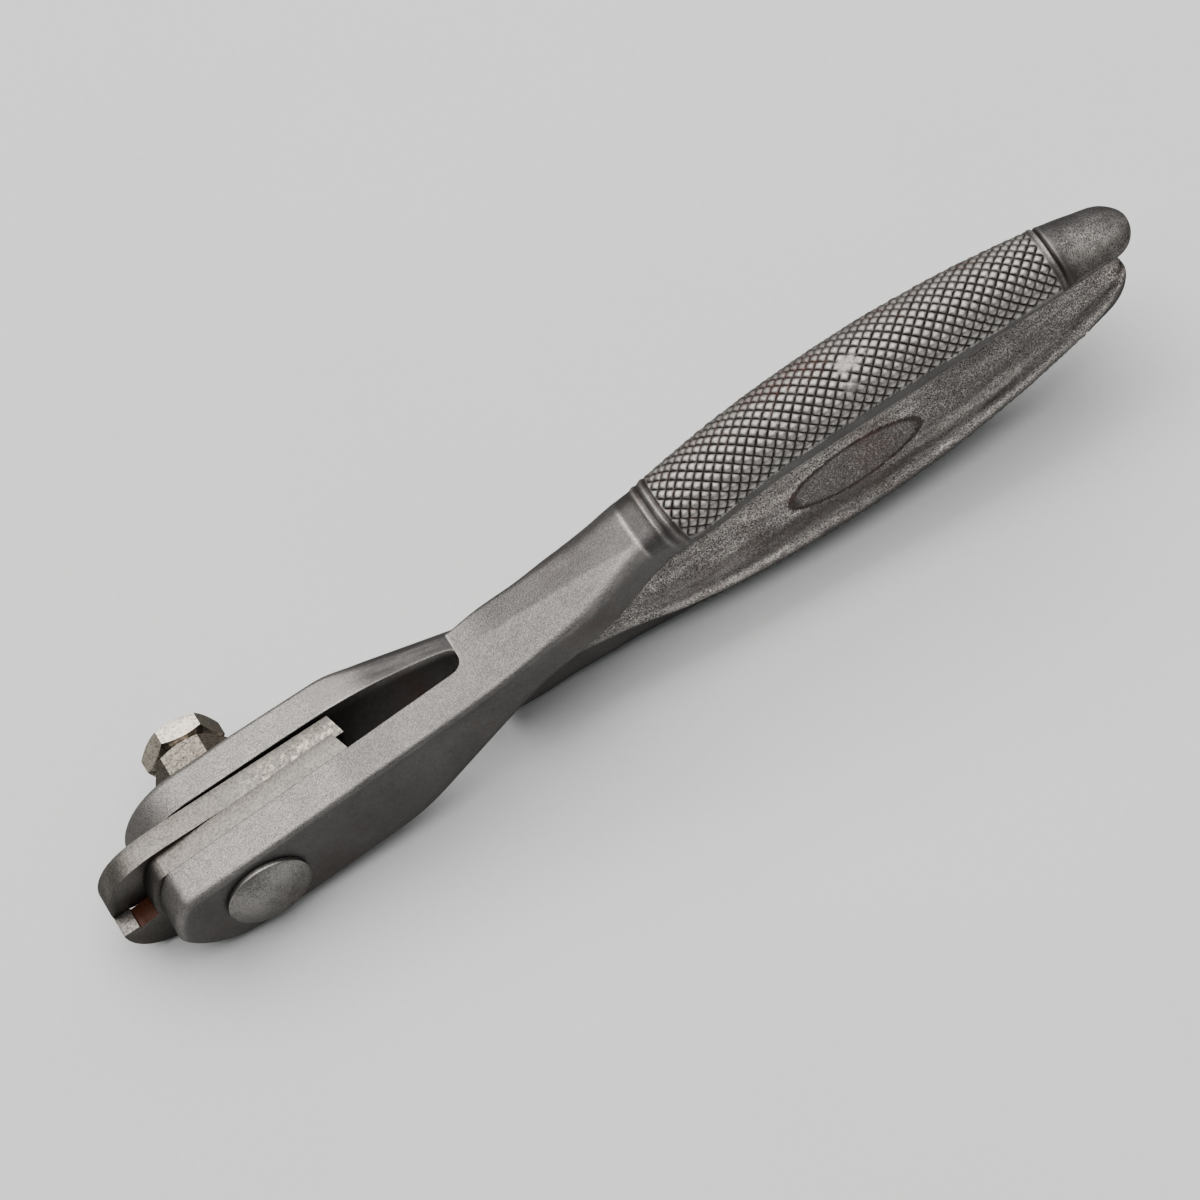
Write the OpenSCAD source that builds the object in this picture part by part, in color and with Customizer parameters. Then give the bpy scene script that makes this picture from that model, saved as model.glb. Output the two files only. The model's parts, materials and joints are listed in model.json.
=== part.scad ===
// Hand cutter for wire, closed, standing on its lower edge. Two forged levers,
// alike but for the length of their tips, cross at a bolt. Each carries one blade plate on its inner
// face, and the two plates slide past each other at y = 0.
// A lever is drawn in its own frame: bolt axis on Y through the origin, arm
// on the -Y side, handle towards +X. The lower lever is the upper one turned
// half a turn about X.

/* [Levers] */
// Overall reach from the bolt axis to the tip of the upper handle
handle_reach = 157.1; // [150:0.1:162]
// How much shorter the lower handle is
lower_short = 2.4; // [0:0.1:3]
// Half of the angle between the two levers when they are closed
half_angle = 2.2; // [1.8:0.1:3]
// Half of the depth of the flat arm around the bolt
arm_half = 8.7; // [8:0.1:10]
// Thickness of the flat arm
arm_t = 6.55; // [6:0.05:8]
// Radius of the arm's nose above the bolt axis
nose_top_r = 12.6; // [12:0.1:13.5]
// Radius of the arm's nose below the bolt axis
nose_low_r = 12.2; // [11.8:0.1:13.5]
// Distance from the bolt axis to the end of the slot between the arms
slot_end = 42; // [38:0.1:44]
// Distance from the bolt axis to where the arm starts to become the neck
neck_at = 41.2; // [38:0.1:44]
// Radius in the inner corner of the slot
slot_corner = 2; // [1:0.1:3]
// How far a neck reaches past the shear plane, over the other neck
neck_lap = 1.6; // [1:0.1:2]
// Gap left between the two necks where they start, when closed
close_gap = 0.2; // [0.1:0.05:0.5]
// Rise of the neck's underside for each millimetre of length
neck_slope = 0.44; // [0.38:0.01:0.5]

/* [Grips] */
// Where the neck has become a full grip
grip_start = 76; // [72:0.5:80]
// Largest half width of a grip
grip_r = 7.1; // [6.5:0.1:7.6]
// Where along the lever the grip is widest
grip_wide_at = 110; // [100:1:118]
// Radius of the swell along a grip's side
swell_r = 360; // [320:1:420]
// Height of the grip's rounded centre line where the bow is highest
bow_height = 7.9; // [7.5:0.1:9.5]
// Where along the lever the bow is highest
bow_at = 98; // [92:1:104]
// Radius of the bow along a grip's back
bow_r = 230; // [200:1:260]
// Height of the wall below the round back of a grip
rim_drop = 0.6; // [0.3:0.1:1]
// Offset of a grip's front end from the shear plane, towards its own arm
grip_offset = 0.9; // [0.5:0.1:1.5]
// How much further out the grip's tip lies
tip_offset = 0.8; // [0:0.1:1.5]
// Depth of the trough along a grip's inner face
trough_depth = 1.6; // [1:0.1:2]
// Width of the flat rim beside the trough
rim_w = 1.2; // [0.9:0.1:1.6]
// Length over which a grip's back rounds off at the tip
tip_len = 5.2; // [4.5:0.1:7]
// Length over which a grip's sides close at the tip
tip_side_len = 6.5; // [5.5:0.5:10]
// How far up its height, as a share, a grip's tip closes
tip_lift = 0.45; // [0.3:0.05:0.6]
// Height of the raised rings beside the grip pattern
bead_h = 0.25; // [0.15:0.05:0.5]
// Where the first front ring is
front_bead_at = 76.9; // [76:0.1:78.5]
// Where the first rear ring is
rear_bead_at = 143.9; // [143:0.1:146]
// Distance between the two front rings
front_pitch = 1.6; // [1.4:0.1:1.8]
// Distance between the two rear rings
rear_pitch = 1; // [0.8:0.1:1.8]
// Length of the shallow oval panel in the trough
panel_len = 23; // [18:0.5:26]
// Width of the oval panel
panel_w = 6; // [4:0.1:7]
// Depth of the oval panel
panel_depth = 0.5; // [0.2:0.1:0.8]
// Distance from the bolt axis to the middle of the oval panel
panel_at = 106; // [98:0.5:114]

/* [Blades] */
// Thickness of a blade plate
blade_t = 3.6; // [2.8:0.1:4]
// Gap between the two blade plates
shear_gap = 0.04; // [0.02:0.01:0.08]
// How far a plate's long edges lie inside the arm's edges
blade_inset = 0.3; // [0.1:0.1:0.8]
// How far a plate's nose reaches past the arm's nose
blade_reach = 0.9; // [0.5:0.1:1.5]
// Distance from the bolt axis to the hooked tail of a plate
tail_at = 21; // [19:0.5:23]
// Depth of the hollow in the tail
tail_hollow = 2; // [1:0.1:3]
// Distance from the bolt axis to the middle of the beak's round
beak_at = 13.5; // [12.5:0.1:14.5]
// Radius of the beak's round
beak_r = 8.1; // [7.6:0.1:8.6]
// How far the two cutting edges pass each other when closed
land_lap = 0.3; // [0.1:0.05:0.6]
// Length of the ground land at the tip of the beak
land_len = 2.7; // [2:0.1:3.2]
// Depth of the throat behind the land
throat_depth = 0.6; // [0.5:0.05:1.2]

/* [Fasteners] */
// Diameter of the pivot bolt
bolt_d = 6.35; // [6:0.05:7]
// Diameter of the bolt's low round head
head_d = 13.5; // [12:0.1:15]
// Height of the straight rim of the head
head_rim = 0.9; // [0.5:0.1:1.4]
// Height of the dome on the head
head_dome = 1.5; // [1:0.1:2.2]
// Size of both nuts across their flats
nut_af = 11.1; // [10:0.1:12.7]
// Height of the full nut
nut_h = 5.56; // [4.5:0.01:6.5]
// Height of the thin locking nut
lock_h = 3.97; // [3:0.01:5]
// How far the locking nut is turned past the full nut
lock_turn = 13; // [0:1:30]
// Length of bolt that shows past the locking nut
bolt_proud = 0.8; // [0.4:0.1:2]
// Running clearance on the bolt's radius in every bore
bolt_play = 0.05; // [0.02:0.01:0.08]
// Diameter of the dowel that locates each plate on its arm
dowel_d = 3; // [2.5:0.1:3.5]
// Distance from the bolt axis to a dowel
dowel_at = 13; // [11:0.5:15]
// Depth of a dowel in its arm
dowel_bite = 4; // [3:0.1:5]
// Clearance on a dowel's radius, at its ends and below the shear plane
dowel_play = 0.02; // [0.01:0.01:0.05]

/* [Hidden] */
$fn = 96;

// Faces counted from the shear plane outwards
blade_face = shear_gap / 2;
arm_face = blade_face + blade_t;
arm_outer = arm_face + arm_t;
// The arm's nose: two arcs whose middles lie beside the bolt axis
nose_top_mid = [-2.2, -0.8];
nose_low_mid = [-3, nose_low_r - arm_half];
// Where the flat arm hands over to the neck, whose first section lies inside
// the arm and grows out to its faces over start_run
plate_end = 20;
neck_from = plate_end - 3;
start_bury = 0.2;
start_run = 3.6;
neck_top_from = neck_at - 3;
// Bends of the neck's underside, as heights over which they are rounded
low_bend = 2;
high_bend = 3;
// Rounding of the arm's long edges and of a grip's rim, and the share of a
// grip's half width that its round back takes
arm_edge = 0.8;
rim_edge = 0.35;
back_share = 0.99;
back_power = 1.5;
// Squareness of the tip's round, where its sections lie as shares of its
// length, and the steps between the neck's and the grip's sections
tip_power = 2.5;
tip_shares = [-0.35, 0, 0.26, 0.5, 0.71, 0.87, 0.966, 0.988, 0.998];
neck_step = 3;
grip_step = 5;
// The neck's underside starts just clear of the other neck
neck_at_z = (close_gap / 2 - neck_at * sin(half_angle)) / cos(half_angle);
neck_half_w = (arm_outer + neck_lap) / 2;
neck_offset = (arm_outer - neck_lap) / 2;
// Share of a nut's width that stays flat at its ends
nut_face = 0.95;
// Steps of a section: round back, then inner face
corner_steps = 7;
floor_steps = 8;
bead_w = 0.42;
// The trough sinks in before the grip starts and rises again towards the tip
trough_from = grip_start - 14;
trough_out = 128;
trough_end = 148;
// Longer than anything that is cut away
cut = handle_reach;

function ease(t) = let (u = min(max(t, 0), 1)) u * u * (3 - 2 * u);
function mix(a, b, t) = a + (b - a) * t;
function soft_min(a, b, k) = min(a, b) - pow(max(k - abs(a - b), 0), 2) / (4 * k);
function soft_max(a, b, k) = -soft_min(-a, -b, k);
// 0 on the arm, 1 where the grip begins
function along_neck(x) = ease((x - neck_at) / (grip_start - neck_at));
function bead(x, at) = exp(-pow((x - at) / bead_w, 2));
function beads(x) = bead_h * (bead(x, front_bead_at) + bead(x, front_bead_at + front_pitch)
    + bead(x, rear_bead_at) + bead(x, rear_bead_at + rear_pitch));
// An arc of radius r that peaks at x = at, straight before the grip begins
function arc_drop(x, at, r) = let (u = max(x, grip_start) - at)
    u * u / (2 * r) + min(x - grip_start, 0) * u / r;
function grip_half_w(x) = grip_r - arc_drop(max(x, grip_start), grip_wide_at, swell_r);
function grip_mid_z(x) = bow_height - arc_drop(x, bow_at, bow_r);
function grip_back_z(x) = grip_mid_z(max(x, grip_start)) + grip_half_w(x);
function rim_z(x) = grip_mid_z(x) - rim_drop;
function neck_low_z(x) = neck_at_z + neck_slope * (x - neck_at);
// How much of a section is left as it rounds off over a length before the reach
function round_off(x, reach, len) = let (e = max(x - reach + len, 0) / len)
    sqrt(max(1 - pow(e, tip_power), 0));
function tip_keep(x, reach) = round_off(x, reach, tip_len);
function start_inset(x) = start_bury * (1 - ease((x - neck_from) / start_run));
function half_w(x, reach) = (mix(neck_half_w, grip_half_w(x), along_neck(x)) + beads(x))
    * round_off(x, reach, tip_side_len) - start_inset(x);
function along_grip(x) = max(x - grip_start, 0) / (handle_reach - grip_start);
function mid_y(x) = -mix(neck_offset, grip_offset, along_neck(x)) - tip_offset * along_grip(x);
function low_z(x) = soft_min(soft_max(-arm_half, neck_low_z(x), low_bend), rim_z(x), high_bend)
    + start_inset(x);
function back_z(x) = mix(arm_half, grip_back_z(x),
    ease((x - neck_top_from) / (grip_start - neck_top_from))) + beads(x) - start_inset(x);
function trough(x) = trough_depth * ease((x - trough_from) / (grip_start - trough_from))
    * (1 - ease((x - trough_out) / (trough_end - trough_out)));
// One closed ring of points across the lever at x: up the outer side, over
// the back, down the inner side and back along the inner face
function ring(x, reach) = let (w = half_w(x, reach), keep = tip_keep(x, reach),
        depth = back_z(x) - low_z(x),
        low = low_z(x) + tip_lift * (1 - keep) * depth, top = low + depth * keep,
        round_r = w * mix(arm_edge / neck_half_w, back_share, pow(along_neck(x), back_power)),
        edge = mix(arm_edge, rim_edge, along_neck(x)) * keep,
        quarter = [for (i = [0:corner_steps]) 90 * i / corner_steps],
        back = concat([[edge - w, 0], [-w, edge]],
            [for (t = quarter) [round_r - w - round_r * cos(t), top - low - round_r * (1 - sin(t))]]))
    concat(
        [for (p = back) [x, mid_y(x) + p.x, low + p.y]],
        [for (i = [len(back) - 1:-1:0]) [x, mid_y(x) - back[i].x, low + back[i].y]],
        [for (i = [1:floor_steps - 1]) let (u = 1 - 2 * i / floor_steps, v = (w - edge) * u,
                flat_w = w - max(min(rim_w, w / 2), edge))
            [x, mid_y(x) + v, low + trough(x) * max(1 - pow(v / flat_w, 2), 0)]]);
// Stations crowd together over each pair of rings and round the tip
function bead_steps(at, pitch) = [for (k = [-2:5]) at + k * pitch / 4];
function stations(reach) = concat(
    [for (x = [neck_from:neck_step:front_bead_at - front_pitch]) x],
    bead_steps(front_bead_at, front_pitch),
    [for (x = [grip_start + grip_step:grip_step:rear_bead_at - grip_step / 2]) x],
    bead_steps(rear_bead_at, rear_pitch),
    [for (e = tip_shares) reach - tip_len * (1 - e)]);
ring_size = 2 * (corner_steps + 3) + floor_steps - 1;
ring_count = len(stations(handle_reach));
function ring_middle(x) = [x, mid_y(x), mix(low_z(x), back_z(x), tip_lift)];
// The last two points close the ends
function lever_points(reach) = let (at = stations(reach)) concat(
    [for (x = at) each ring(x, reach)],
    [ring_middle(at[0]), ring_middle(at[len(at) - 1])]);
last_ring = (ring_count - 1) * ring_size;
first_middle = last_ring + ring_size;
lever_faces = concat(
    [for (j = [0:ring_size - 1]) [first_middle, (j + 1) % ring_size, j]],
    [for (i = [0:ring_count - 2], j = [0:ring_size - 1])
        let (a = i * ring_size + j, b = i * ring_size + (j + 1) % ring_size) each
        [[a, b, a + ring_size], [b, b + ring_size, a + ring_size]]],
    [for (j = [0:ring_size - 1])
        [first_middle + 1, last_ring + j, last_ring + (j + 1) % ring_size]]);

// Both levers share the middle plane; the part then leans until it stands
// on the lower jaw's beak and the lower grip's back.
lower_reach = handle_reach - lower_short;
function closed_x(p) = p.x * cos(half_angle) - p.z * sin(half_angle);
function closed_z(p) = p.z * cos(half_angle) + p.x * sin(half_angle);
blade_half = arm_half - blade_inset;
beak_mid = [-beak_at, 0.24];
// From the back of the land to the plate's nose
throat_len = beak_at + beak_r - land_len - (nose_top_r + blade_reach - nose_top_mid.x);
belly = [for (p = lever_points(lower_reach)) if (p.x > grip_start) [closed_x(p), -closed_z(p)]];
belly_low = min([for (p = belly) p.y]);
belly_x = max([for (p = belly) if (p.y == belly_low) p.x]);
beak_foot = [-beak_at, 0, -blade_half];
lean = atan((closed_z(beak_foot) - belly_low) / (belly_x - closed_x(beak_foot)));
function stood_x(x, z) = x * cos(lean) - z * sin(lean);
function stood_z(x, z) = z * cos(lean) + x * sin(lean);
stand_low = min(min([for (p = belly) stood_z(p.x, p.y)]),
    stood_z(closed_x(beak_foot), closed_z(beak_foot)));
front_x = stood_x(-beak_at - beak_r, 0);
back_x = max([for (p = lever_points(handle_reach)) stood_x(closed_x(p), closed_z(p))]);
head_side = arm_outer + head_rim + head_dome;
nut_side = arm_outer + nut_h + lock_h + bolt_proud;
stand_at = [-(front_x + back_x) / 2, (head_side - nut_side) / 2, -stand_low];

module stand() {
    translate(stand_at) rotate([0, -lean, 0]) children();
}

// Places a shape drawn in a lever's own frame as the upper lever's
module on_upper() {
    stand() rotate([0, -half_angle, 0]) children();
}

module on_lower() {
    stand() rotate([180, 0, 0]) rotate([0, -half_angle, 0]) children();
}

// Raises an outline drawn in x and z between two distances from the shear plane
module plate_between(from, to) {
    rotate([90, 0, 0]) translate([0, 0, from]) linear_extrude(height = to - from) children();
}

module bolt_hole() {
    rotate([90, 0, 0]) cylinder(r = bolt_d / 2 + bolt_play, h = cut, center = true);
}

// A blind hole from the shear plane through the plate and into the arm
module dowel_hole() {
    plate_between(0, arm_face + dowel_bite + dowel_play)
        translate([dowel_at, 0]) circle(r = dowel_d / 2 + dowel_play);
}

module arm_outline() {
    intersection() {
        translate([-cut, -arm_half]) square([cut + plate_end, 2 * arm_half]);
        union() {
            translate(nose_top_mid) circle(r = nose_top_r);
            translate([nose_top_mid.x, -arm_half]) square([cut, 2 * arm_half]);
        }
        union() {
            translate(nose_low_mid) circle(r = nose_low_r);
            translate([nose_low_mid.x, -arm_half]) square([cut, 2 * arm_half]);
        }
    }
}

// The slot that the other lever's arm passes through, seen from above
module slot_outline() {
    translate([-cut, -arm_face]) square([cut + slot_end - slot_corner, cut]);
    translate([-cut, slot_corner - arm_face]) square([cut + slot_end, cut]);
    translate([slot_end - slot_corner, slot_corner - arm_face]) circle(r = slot_corner);
}

module oval_panel() {
    floor_z = rim_z(panel_at) + trough_depth;
    translate([panel_at, mid_y(panel_at), floor_z - trough_depth])
        linear_extrude(height = trough_depth + panel_depth)
            polygon([for (a = [0:15:345]) [cos(a) * panel_len / 2, sin(a) * panel_w / 2]]);
}

module lever(reach) {
    difference() {
        union() {
            plate_between(arm_face, arm_outer) arm_outline();
            difference() {
                polyhedron(points = lever_points(reach), faces = lever_faces, convexity = 6);
                translate([0, 0, -cut / 2]) linear_extrude(height = cut) slot_outline();
            }
        }
        bolt_hole();
        dowel_hole();
        oval_panel();
    }
}

module blade_outline() {
    difference() {
        union() {
            intersection() {
                translate([-cut, -blade_half]) square([cut + tail_at, 2 * blade_half]);
                union() {
                    translate(nose_top_mid) circle(r = nose_top_r + blade_reach);
                    translate([nose_top_mid.x, -blade_half]) square([cut, 2 * blade_half]);
                }
            }
            // The beak, cut off level along the ground land
            intersection() {
                translate(beak_mid) circle(r = beak_r);
                translate([-cut, -blade_half]) square([cut, 2 * blade_half]);
                rotate(-half_angle) translate([-cut, -cut]) square([cut, cut + land_lap / 2]);
            }
        }
        // The throat behind the land
        rotate(-half_angle) translate([-beak_at - beak_r + land_len, land_lap / 2 - throat_depth])
            square([throat_len, throat_depth]);
        tail_r = (blade_half * blade_half + tail_hollow * tail_hollow) / (2 * tail_hollow);
        translate([tail_at - tail_hollow + tail_r, 0]) circle(r = tail_r);
    }
}

module blade() {
    difference() {
        plate_between(blade_face, arm_face) blade_outline();
        bolt_hole();
        dowel_hole();
    }
}

module dowel() {
    plate_between(blade_face + dowel_play, arm_face + dowel_bite)
        translate([dowel_at, 0]) circle(r = dowel_d / 2);
}

module upper_handle() {
    color([0.42, 0.41, 0.40]) on_upper() lever(handle_reach);
}

module lower_handle() {
    color([0.36, 0.34, 0.33]) on_lower() lever(lower_reach);
}

module lower_blade() {
    color([0.62, 0.60, 0.57]) on_upper() blade();
}

module upper_blade() {
    color([0.56, 0.55, 0.53]) on_lower() blade();
}

module lower_blade_dowel() {
    color([0.70, 0.70, 0.70]) on_upper() dowel();
}

module upper_blade_dowel() {
    color([0.70, 0.70, 0.70]) on_lower() dowel();
}

// The head is on the -Y side, the nuts are on the +Y side
module pivot_bolt() {
    dome_r = (head_d * head_d / 4 + head_dome * head_dome) / (2 * head_dome);
    color([0.45, 0.43, 0.41]) stand() rotate([90, 0, 0]) {
        translate([0, 0, -nut_side]) cylinder(d = bolt_d, h = nut_side + arm_outer + head_rim / 2);
        intersection() {
            translate([0, 0, arm_outer]) cylinder(d = head_d, h = head_rim + head_dome);
            translate([0, 0, head_side - dome_r]) sphere(r = dome_r);
        }
    }
}

// A chamfered hexagon with a bore, its lower face at z = 0
module nut(height) {
    corner_r = nut_af / 2 / cos(30);
    face_r = nut_face * nut_af / 2;
    chamfer = (corner_r - face_r) * tan(30);
    difference() {
        intersection() {
            cylinder(r = corner_r, h = height, $fn = 6);
            rotate_extrude() polygon([[0, 0], [face_r, 0], [corner_r, chamfer],
                [corner_r, height - chamfer], [face_r, height], [0, height]]);
        }
        cylinder(r = bolt_d / 2 + bolt_play, h = cut, center = true);
    }
}

module pivot_nut() {
    color([0.63, 0.60, 0.55]) stand() rotate([-90, 0, 0]) translate([0, 0, arm_outer]) nut(nut_h);
}

module lock_nut() {
    color([0.68, 0.65, 0.60]) stand() rotate([-90, 0, 0]) translate([0, 0, arm_outer + nut_h])
        rotate(lock_turn) nut(lock_h);
}

lower_handle();
upper_handle();
upper_blade();
lower_blade();
pivot_bolt();
pivot_nut();
lock_nut();
upper_blade_dowel();
lower_blade_dowel();
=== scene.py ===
# %% [markdown]
# # A hand cutter for wire
#
# The tool is two forged levers of one form, crossed at a bolt, with a blade
# plate on the inner face of each. The solids already exist, so this file
# loads them as a fixed frame, and every piece made here stays in it. Their
# box is noted at once, to compare it with the finished model's.

# %% Load the solids
import json
import math
from math import acos, asin, atan2, cos, degrees, exp, hypot, pi, radians, sin, sqrt
import bpy
import bmesh
import numpy as np
from mathutils import Matrix, Vector, noise


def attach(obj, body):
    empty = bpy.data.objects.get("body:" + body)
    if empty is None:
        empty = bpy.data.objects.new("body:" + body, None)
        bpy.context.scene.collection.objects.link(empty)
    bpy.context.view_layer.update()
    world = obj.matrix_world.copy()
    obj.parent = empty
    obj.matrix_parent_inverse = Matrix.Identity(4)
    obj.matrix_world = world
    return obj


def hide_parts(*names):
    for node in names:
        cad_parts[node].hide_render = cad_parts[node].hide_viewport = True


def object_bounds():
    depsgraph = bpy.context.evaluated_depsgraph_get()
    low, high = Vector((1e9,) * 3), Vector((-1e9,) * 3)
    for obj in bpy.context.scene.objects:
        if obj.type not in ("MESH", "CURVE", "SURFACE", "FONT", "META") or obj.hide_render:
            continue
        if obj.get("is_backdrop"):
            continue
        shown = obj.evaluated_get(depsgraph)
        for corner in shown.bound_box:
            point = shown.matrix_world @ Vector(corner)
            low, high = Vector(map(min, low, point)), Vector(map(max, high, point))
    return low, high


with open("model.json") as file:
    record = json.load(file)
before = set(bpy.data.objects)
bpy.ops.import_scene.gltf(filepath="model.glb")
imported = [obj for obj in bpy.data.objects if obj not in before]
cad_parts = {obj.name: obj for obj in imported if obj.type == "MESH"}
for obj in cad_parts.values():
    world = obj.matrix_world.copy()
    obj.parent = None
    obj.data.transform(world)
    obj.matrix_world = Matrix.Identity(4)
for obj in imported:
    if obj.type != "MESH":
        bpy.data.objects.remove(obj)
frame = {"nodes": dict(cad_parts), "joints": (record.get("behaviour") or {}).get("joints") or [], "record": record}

cad_low, cad_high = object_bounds()
bpy.ops.object.select_all(action="DESELECT")
MM = 0.001
QUARTER = pi / 2
print("solids:", sorted(frame["nodes"]), "box in mm:", (cad_high - cad_low) / MM)

# %% [markdown]
# Each lever is drawn along its own X axis, with the bolt through the origin,
# its arm on the -Y side and its handle towards +X. Two matrices then put it
# where the upper or the lower lever is. The record's two flat mounts are the
# faces of the arms, so their directions give the tool's lean and the angle
# between the levers.

# %% Where the two levers are
pivot = Vector(frame["joints"][0]["pos_m"])
mounts = {m["name"]: m for m in frame["record"]["mounts"]}
upper_normal = mounts["upper_arm_flat"]["axis"]
lower_normal = mounts["lower_arm_flat"]["axis"]
upper_tilt = atan2(-upper_normal[0], upper_normal[2])
lower_tilt = atan2(lower_normal[0], -lower_normal[2])
lean = (upper_tilt + lower_tilt) / 2
half_angle = (upper_tilt - lower_tilt) / 2

stand = Matrix.Translation(pivot) @ Matrix.Rotation(-lean, 4, "Y")
open_half = Matrix.Rotation(-half_angle, 4, "Y")
to_metres = Matrix.Scale(MM, 4)
UPPER = stand @ open_half @ to_metres
LOWER = stand @ Matrix.Rotation(pi, 4, "X") @ open_half @ to_metres
print(f"lean {degrees(lean):.3f} deg, half angle {degrees(half_angle):.3f} deg")

# %% [markdown]
# The camera comes before the pieces, so that every trial picture can be laid
# over the photograph. It stood a good arm's length away and looked down on
# the upper grip and on the side with the round bolt head. Three turns say
# that: a roll about the tool's length, a small pitch, and a yaw that lays
# the tool across the picture. A long lens keeps the far grip large.

# %% The camera
view_yaw, view_pitch, view_roll = 0.5931016, 0.0017432, 0.5365490
view_distance = 818.45
pixels_per_mm, frame_pixels = 6.87, 1200
aim, aim_drop = Vector((-53.0255, -34.1668, 0)), 0.5


def placed(name, data):
    """A new object, linked to the scene."""
    made = bpy.data.objects.new(name, data)
    bpy.context.scene.collection.objects.link(made)
    return made


# the tool's three axes as the camera sees them: right, up and towards it
tool_to_camera = (Matrix.Rotation(view_yaw, 3, "Z") @ Matrix.Rotation(-view_pitch, 3, "Y")
                  @ Matrix.Rotation(-view_roll, 3, "X"))
seen_z = tool_to_camera @ Vector((0, 0, 1))
offset = aim - aim_drop * seen_z
eye = tool_to_camera.inverted() @ (Vector((0, 0, view_distance)) - offset)
camera_data = bpy.data.cameras.new("camera")
camera_data.sensor_width = 36
camera_data.lens = pixels_per_mm * view_distance / frame_pixels * camera_data.sensor_width
camera_data.clip_start, camera_data.clip_end = 0.05, 20
camera = placed("camera", camera_data)
camera.matrix_world = (stand @ Matrix.Translation(eye * MM)
                       @ tool_to_camera.inverted().to_4x4())
bpy.context.scene.camera = camera
bpy.context.view_layer.update()
print(f"lens {camera_data.lens:.1f} mm, camera {camera.location.z:.2f} m above the sheet")

# %% [markdown]
# Shader maths is easier to read as formulas than as boxes and wires. A
# Signal wraps one socket and adds, subtracts and multiplies by making Math
# nodes. A Finish is one material, and its `node` method adds any other node.

# %% Shader formulas
def linear(*screen):
    """A screen colour, 0 to 255, as the linear light that shaders work in."""
    return tuple(c / 255 / 12.92 if c / 255 <= 0.04045 else ((c / 255 + 0.055) / 1.055) ** 2.4
                 for c in screen) + (1.0,)


class Signal:
    def __init__(self, finish, socket):
        self.finish, self.socket = finish, socket

    def _math(self, operation, *values):
        return self.finish.node("ShaderNodeMath", dict(operation=operation),
                                dict(enumerate(values)))

    def __add__(self, other): return self._math("ADD", self, other)
    def __radd__(self, other): return self._math("ADD", other, self)
    def __sub__(self, other): return self._math("SUBTRACT", self, other)
    def __rsub__(self, other): return self._math("SUBTRACT", other, self)
    def __mul__(self, other): return self._math("MULTIPLY", self, other)
    def __rmul__(self, other): return self._math("MULTIPLY", other, self)

    def ramp(self, low, high):
        """0 at low, 1 at high, smooth between."""
        return self.finish.node("ShaderNodeMapRange", dict(interpolation_type="SMOOTHSTEP"),
                                {"Value": self, "From Min": low, "From Max": high})


class Finish:
    def __init__(self, name):
        self.material = bpy.data.materials.new(name)
        self.material.use_nodes = True
        self.tree = self.material.node_tree
        self.tree.nodes.clear()
        self.out = self.tree.nodes.new("ShaderNodeOutputMaterial")
        self.shader = self.tree.nodes.new("ShaderNodeBsdfPrincipled")
        self.tree.links.new(self.shader.outputs[0], self.out.inputs["Surface"])
        self.place = self.node("ShaderNodeTexCoord", output="Object")

    def node(self, kind, settings=None, inputs=None, output=0):
        made = self.tree.nodes.new(kind)
        for key, value in (settings or {}).items():
            setattr(made, key, value)
        for key, value in (inputs or {}).items():
            self.feed(made.inputs[key], value)
        return Signal(self, made.outputs[output])

    def feed(self, socket, value):
        if isinstance(value, Signal):
            self.tree.links.new(value.socket, socket)
        else:
            socket.default_value = value

    def noise(self, scale, detail, rough, stretch=None):
        """Noise of that many blobs per metre, from 0 to 1."""
        where = self.place
        if stretch:
            where = self.node("ShaderNodeMapping", None, {"Vector": where, "Scale": stretch})
        return self.node("ShaderNodeTexNoise", None, {
            "Vector": where, "Scale": scale, "Detail": detail, "Roughness": rough})

    def attribute(self, name):
        return self.node("ShaderNodeAttribute", dict(attribute_name=name), output="Fac")

    def axis(self, name):
        """One coordinate of the point being shaded, in metres."""
        return self.node("ShaderNodeSeparateXYZ", None, {"Vector": self.place}, output=name)

    def colour(self, mask, low, high):
        """The low colour where the mask is 0, the high one where it is 1."""
        return self.node("ShaderNodeMix", dict(data_type="RGBA"),
                         {0: mask, 6: low, 7: high}, output=2)

    def set(self, **sockets):
        for key, value in sockets.items():
            self.feed(self.shader.inputs[key.replace("_", " ")], value)


# %% [markdown]
# ## Floor and light
#
# The tool stands on a plain pale sheet under soft daylight. A large plane
# with one pale, slightly mottled material is enough. One large soft panel
# overhead, a little behind the tool, and a weak one in front make the tops
# of the arms light and their sides dark, as in the photograph.

# %% The floor
bpy.ops.mesh.primitive_plane_add(size=6, location=(0, 0, 0))
floor = bpy.context.object
floor.name = "floor"
floor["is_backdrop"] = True
sheet = Finish("pale_sheet")
mottle = sheet.noise(9, 4, 0.6) * 0.6 + sheet.noise(900, 2, 0.5) * 0.4
sheet.set(Base_Color=sheet.colour(mottle.ramp(0.3, 0.7),
                                  linear(203, 205, 204), linear(208, 210, 209)),
          Roughness=0.75, Specular_IOR_Level=0.3)
floor.data.materials.append(sheet.material)

# %% The lights
def soft_panel(name, place, aim_at, size, power, tint):
    data = bpy.data.lights.new(name, "AREA")
    data.shape, data.size, data.energy, data.color = "SQUARE", size, power, tint
    lamp = placed(name, data)
    lamp.location = place
    lamp.rotation_euler = (Vector(aim_at) - Vector(place)).to_track_quat("-Z", "Y").to_euler()


soft_panel("overhead", (0.06, 0.30, 1.25), (0, 0, 0), 2.2, 58, (1.0, 0.99, 0.975))
soft_panel("front", (0.25, -1.2, 0.5), (0, 0, 0.01), 0.8, 0.8, (0.88, 0.94, 1.0))
world = bpy.data.worlds.new("soft_room")
bpy.context.scene.world = world
world.use_nodes = True
room = world.node_tree.nodes["Background"].inputs
room["Color"].default_value = (0.80, 0.82, 0.83, 1)
room["Strength"].default_value = 0.26
print("stage and lights are ready")

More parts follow.
